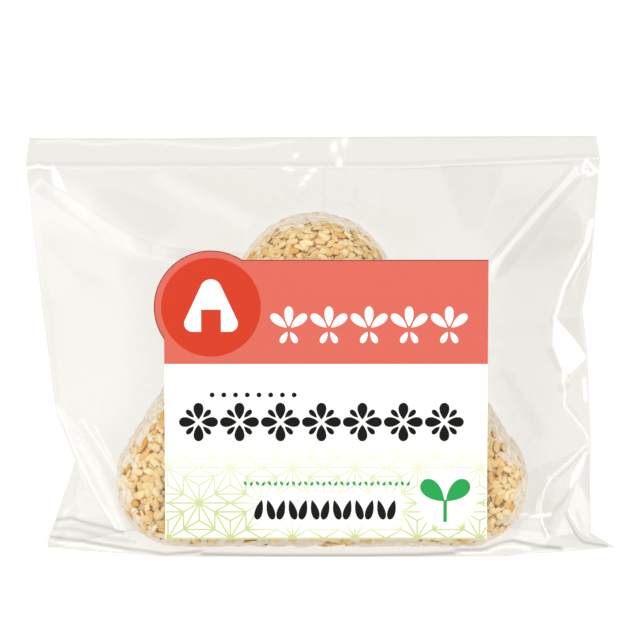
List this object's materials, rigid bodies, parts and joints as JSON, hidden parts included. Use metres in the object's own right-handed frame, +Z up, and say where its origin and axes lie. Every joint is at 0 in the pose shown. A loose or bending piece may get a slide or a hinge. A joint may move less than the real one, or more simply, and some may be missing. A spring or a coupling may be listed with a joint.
{
  "type": "packed rice ball",
  "caption": "Large triangular rice ball coated with sesame, sealed in a clear film pillow bag with a die-cut label on its front, standing on its flat base.",
  "frame": {"origin": "on the floor, under the middle of the bag's overall box", "axes": "+X to the right as the label is read, -Y out of the front with the label, +Z up"},
  "size_m": [0.1487, 0.0424, 0.1037],
  "materials": {
    "film": "clear, glossy, thin",
    "label_card": "printed, semi-matt"
  },
  "bodies": {
    "root": {"bag": "film", "label": "label_card"}
  },
  "joints": []
}
